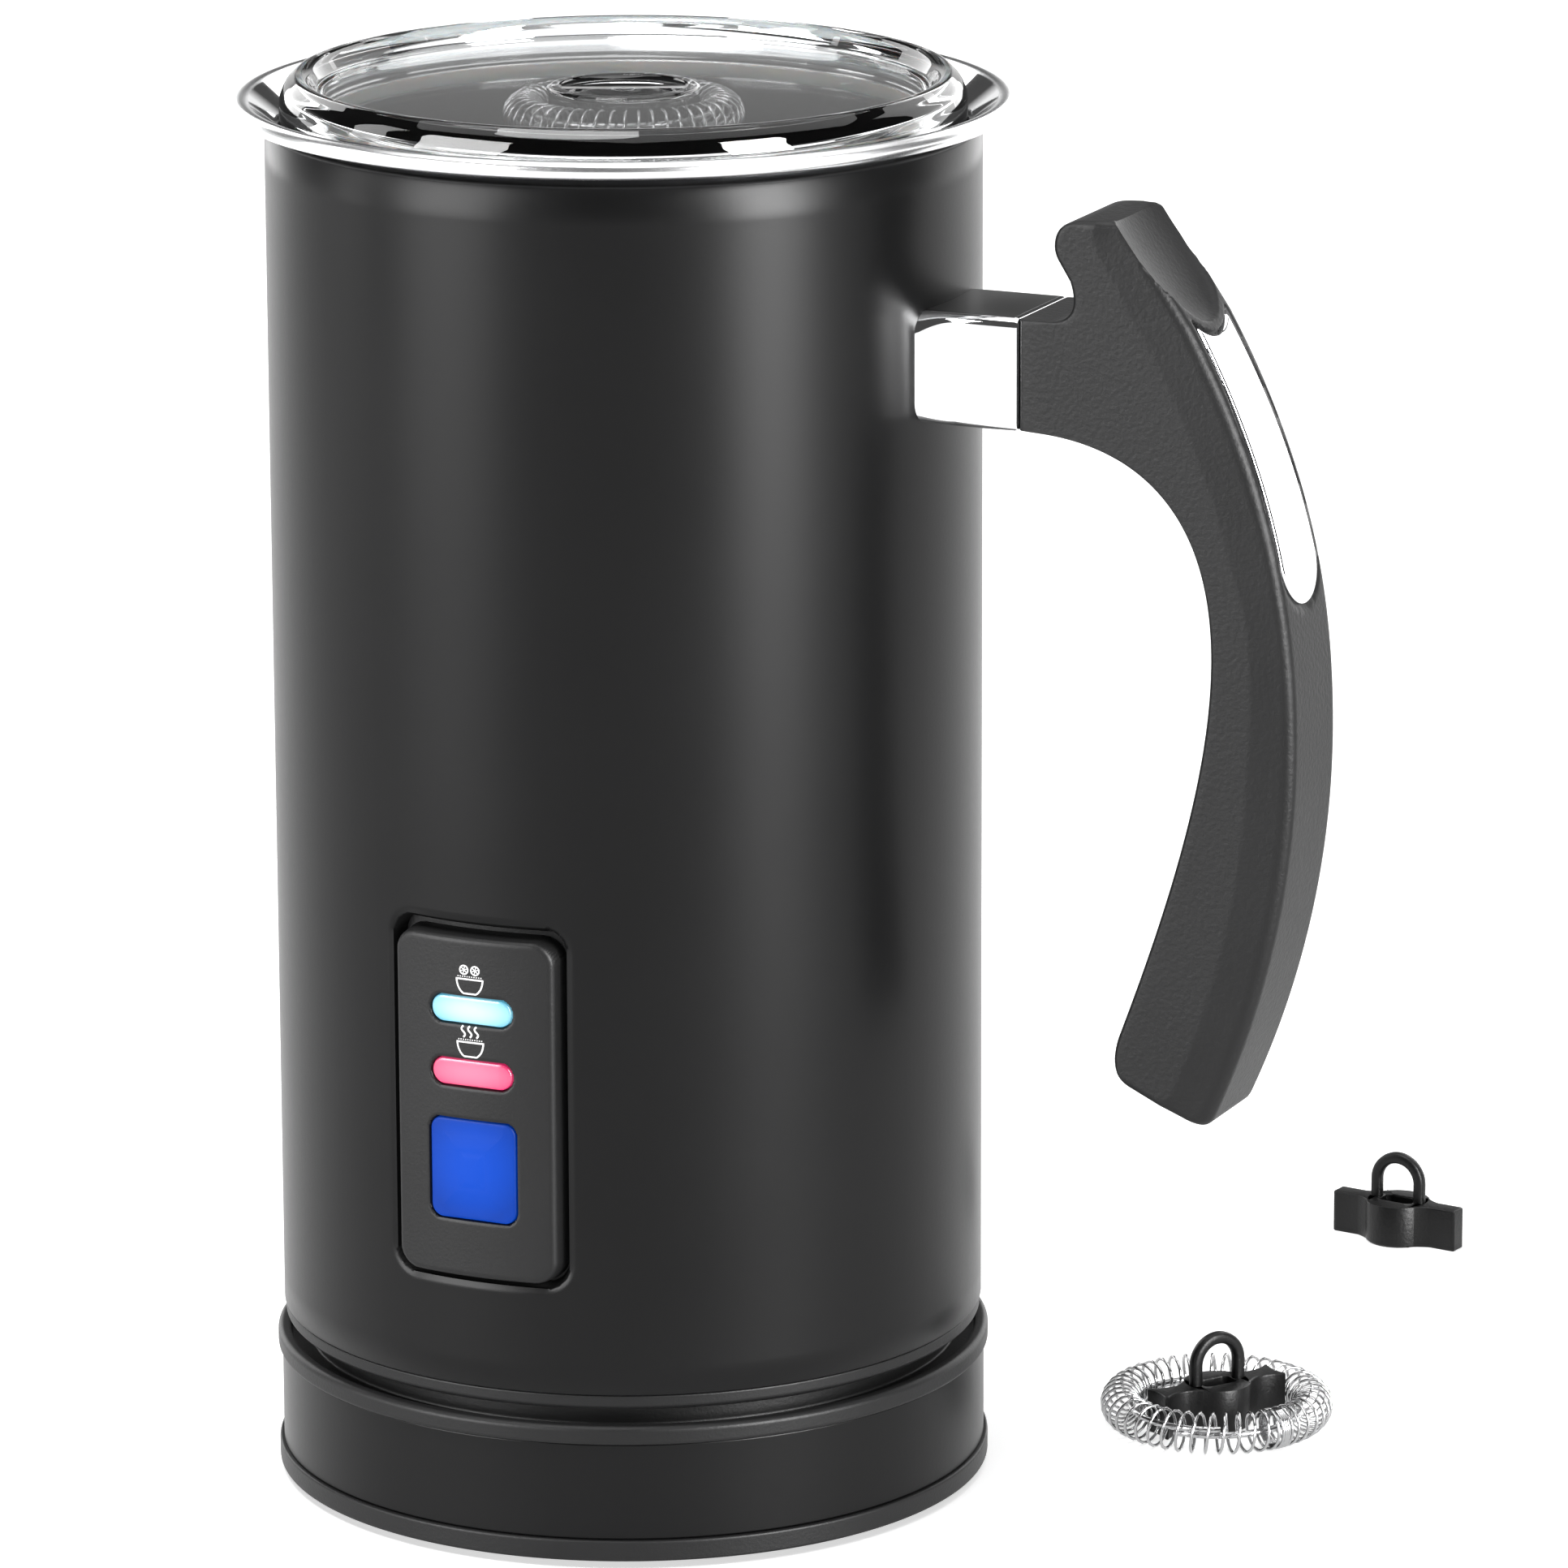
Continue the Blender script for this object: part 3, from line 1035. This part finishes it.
def hub_hoop():
    """The finger hoop: an oval section carried over a half circle and down both sides."""
    half, rise = 3.72, 7.5
    springing = HUB_H + rise - half - 0.9
    a = np.linspace(0, math.pi, 40)
    arch = np.stack([half * np.cos(a), springing + half * np.sin(a)], -1)
    path = np.concatenate([[(half, HUB_H - 0.8)], arch, [(-half, HUB_H - 0.8)]])
    ahead = unit(np.gradient(path, axis=0))
    side = np.stack([ahead[:, 1], -ahead[:, 0]], -1)
    b = np.linspace(0, TAU, 16, endpoint=False)
    circle = np.stack([np.cos(b), np.sin(b)], -1)
    squircle = np.sign(circle) * np.abs(circle) ** 0.7
    p, q = squircle[:, 0] * 0.88, squircle[:, 1] * 0.88
    x = path[:, :1] + side[:, :1] * p
    z = path[:, 1:] + side[:, 1:] * p
    return loft(np.stack([x, np.broadcast_to(q, x.shape), z], -1))


def hub(name, node, reach, flare, body, flipped=False, turn=0.0):
    parts = [hub_boss(), hub_arm(reach, flare, 1), hub_arm(reach, flare, -1), hub_hoop()]
    points, quads, caps = merged(parts)
    points = placed(points, node, flipped, turn)
    mesh_piece(name, points, quads, caps, body, HUB_BLACK, "black_plastic", [node], crease=40)


def tube(path, radius, sides):
    """A round wire along a path of points: each ring lies in the plane across the path."""
    path = np.asarray(path, float)
    ahead = unit(np.gradient(path, axis=0))
    outwards = np.column_stack([path[:, :2], np.full(len(path), 1e-3)])
    first = unit(np.cross(ahead, outwards))
    second = np.cross(ahead, first)
    a = np.linspace(0, TAU, sides, endpoint=False)
    ring = first[:, None] * np.cos(a)[:, None] + second[:, None] * np.sin(a)[:, None]
    return loft(path[:, None] + radius * ring)


def coil(name, node, hub_node, body, flipped=False, turn=0.0, bunch=None):
    """The spring: a helix wound round a ring, point t at (R + w cos k)(cos b, sin b), w sin k.
    The angle b lags where the turns bunch together."""
    turns, per_turn = 50, 18
    t = np.linspace(0, 1, turns * per_turn)
    pace = np.ones_like(t)
    if bunch is not None:
        pace = 1 - 0.86 * np.exp(-(((t - bunch) / 0.062) ** 4))
    b = np.cumsum(pace)
    b = b / b[-1] * (TAU - 0.02)
    k = TAU * turns * t
    wire = COIL_R - COIL_WIRE_R
    r = COIL_CENTRE_R + wire * np.cos(k)
    path = np.stack([r * np.cos(b), r * np.sin(b), COIL_R + wire * np.sin(k)], -1)
    points, quads, caps = tube(path, COIL_WIRE_R, 6)
    points = placed(points, hub_node, flipped, turn)
    mesh_piece(name, points, quads, caps, body, WIRE, "polished_steel", [node], crease=80)


def core(name, node, hub_node, body, flipped=False, turn=0.0, start=0.0):
    """The stiff wire inside the spring: once round and a little over, its ends side by side."""
    a = np.linspace(0, TAU + 0.55, 150)
    lift = 2.2 + 0.9 * a / a[-1]
    path = np.stack([CORE_R * np.cos(a + start), CORE_R * np.sin(a + start), lift], -1)
    points, quads, caps = tube(path, CORE_WIRE_R, 12)
    points = placed(points, hub_node, flipped, turn)
    mesh_piece(name, points, quads, caps, body, WIRE, "polished_steel", [node], crease=60)


def whisks():
    reach = COIL_CENTRE_R - COIL_R - 0.2
    loose_turn = 0.99
    rows = [
        ("working_whisk", False, 0.0, None),
        ("spare_whisk", True, 0.0, None),
        ("loose_whisk", False, loose_turn, 0.735),
    ]
    for body, flipped, turn, bunch in rows:
        hub_node = f"{body}_hub"
        hub(f"{body}_body", hub_node, reach, 5.4, body, flipped=flipped, turn=turn)
        coil(f"{body}_spring", f"{body}_coil", hub_node, body, flipped, turn, bunch)
        core(f"{body}_core", f"{body}_core_ring", hub_node, body, flipped, turn, start=3.6)
    hub("paddle_body", "paddle_hub", 10.7, 3.0, "loose_paddle", turn=-0.145)


# ---------- Stage ----------
def across_view(right, ahead, up):
    """A place given to the right of, beyond and above the object as the camera sees it."""
    c, s = math.cos(VIEW_TURN), math.sin(VIEW_TURN)
    return Vector((right * c - ahead * s, right * s + ahead * c, up))


def camera():
    yaw, pitch, roll = 0.0174, 0.2529, -0.0037
    ahead = across_view(math.sin(yaw) * math.cos(pitch), math.cos(yaw) * math.cos(pitch), -math.sin(pitch))
    right = across_view(math.cos(yaw), -math.sin(yaw), 0)
    up = right.cross(ahead)
    tilted_right = right * math.cos(roll) + up * math.sin(roll)
    tilted_up = up * math.cos(roll) - right * math.sin(roll)
    data = bpy.data.cameras.new("camera")
    data.sensor_width = 36
    data.lens = CAMERA_LENS
    data.clip_end = 20
    eye = bpy.data.objects.new("camera", data)
    bpy.context.scene.collection.objects.link(eye)
    turn = Matrix((tilted_right, tilted_up, -ahead)).transposed().to_4x4()
    eye.matrix_world = Matrix.Translation(across_view(0, -CAMERA_BACK, CAMERA_HEIGHT)) @ turn
    bpy.context.scene.camera = eye


def lamp(name, place, aim, width, height, power):
    """A soft rectangular light that faces its aim."""
    data = bpy.data.lights.new(name, "AREA")
    data.shape = "RECTANGLE"
    data.size, data.size_y, data.energy = width, height, power
    light = bpy.data.objects.new(name, data)
    bpy.context.scene.collection.objects.link(light)
    light.location = place
    light.rotation_euler = (aim - place).to_track_quat("-Z", "Y").to_euler()
    return light


FLOOR_GLOW = 0.64
ROOM_LIGHT = 0.07
BACKDROP = 0.9
OVERHEAD = 18.0
CARDS = [  # name, degrees round from the camera, middle height, width, height of card, power
    ("card_right", 46, 0.36, 0.46, 1.2, 72.0),
    ("card_left", -57, 0.40, 0.66, 1.1, 34.0),
    ("card_side_left", -95, 0.45, 0.3, 1.1, 5.0),
    ("card_back_left", -147, 0.45, 0.5, 1.1, 6.0),
    ("card_back_right", 152, 0.45, 0.4, 1.1, 4.0),
    ("card_palm", 129, 0.50, 0.7, 1.1, 4.5),
]


def skylight():
    """A broad sun from above, for the soft shadow under the object."""
    data = bpy.data.lights.new("skylight", "SUN")
    data.energy, data.angle = SUN_ENERGY, SUN_SPREAD
    sky = bpy.data.objects.new("skylight", data)
    bpy.context.scene.collection.objects.link(sky)
    sky.rotation_euler = across_view(0.2, 0.1, -1).to_track_quat("-Z", "Y").to_euler()


def room():
    """Surroundings: white to the camera, and to everything else dark overhead and in front,
    with a pale band low down behind the object."""
    world = bpy.data.worlds.new("studio")
    bpy.context.scene.world = world
    world.use_nodes = True
    tree = Tree(world.node_tree)
    way = tree.node("ShaderNodeTexCoord", {}, {}).outputs["Generated"]
    part = tree.node("ShaderNodeSeparateXYZ", {}, {0: way})
    x, y, z = (Value(tree, part.outputs[name]) for name in "XYZ")
    behind = (y * math.cos(VIEW_TURN) - x * math.sin(VIEW_TURN)).step(0.25, 0.75)
    low = 1 - z.math("ABSOLUTE").step(0.1, 0.2)
    lit = behind * low * BACKDROP + ROOM_LIGHT
    seen = Value(tree, tree.node("ShaderNodeLightPath", {}, {}).outputs["Is Camera Ray"])
    strength = lit * (1 - seen) + seen * 1.05
    background = world.node_tree.nodes["Background"]
    background.inputs["Color"].default_value = (1, 1, 1, 1)
    world.node_tree.links.new(strength.socket, background.inputs["Strength"])


def stage():
    size = 6.0
    half = size / 2
    corners = [(-half, -half, 0), (half, -half, 0), (half, half, 0), (-half, half, 0)]
    mesh = bpy.data.meshes.new("floor")
    mesh.from_pydata(corners, [], [(0, 1, 2, 3)])
    floor = bpy.data.objects.new("floor", mesh)
    bpy.context.scene.collection.objects.link(floor)
    f = Finish("pale_floor", Roughness=0.8, Specular_IOR_Level=0.1, Emission_Strength=FLOOR_GLOW)
    f.tint(f.noise(3, 2), (0.80, 0.80, 0.80), (0.82, 0.82, 0.82))
    f.set("Emission Color", (1, 1, 1))
    floor.data.materials.append(f.material)
    for name, degrees, rise, width, height, power in CARDS:
        turn = math.radians(degrees)
        place = across_view(CARD_DISTANCE * math.sin(turn), -CARD_DISTANCE * math.cos(turn), rise)
        card = lamp(name, place, Vector((0, 0, 0.12)), width, height, power)
        card.visible_diffuse = False
    lamp("overhead", across_view(0.1, 0.1, 1.5), Vector((0, 0, 0.1)), 2.0, 2.0, OVERHEAD)
    skylight()
    room()
    bpy.context.scene.view_settings.view_transform = "Standard"


camera()
finish_cad_nodes()
base_pieces()
shell()
foot_ring()
pot()
controls()
bracket()
grip()
inlay()
lid()
whisks()
stage()
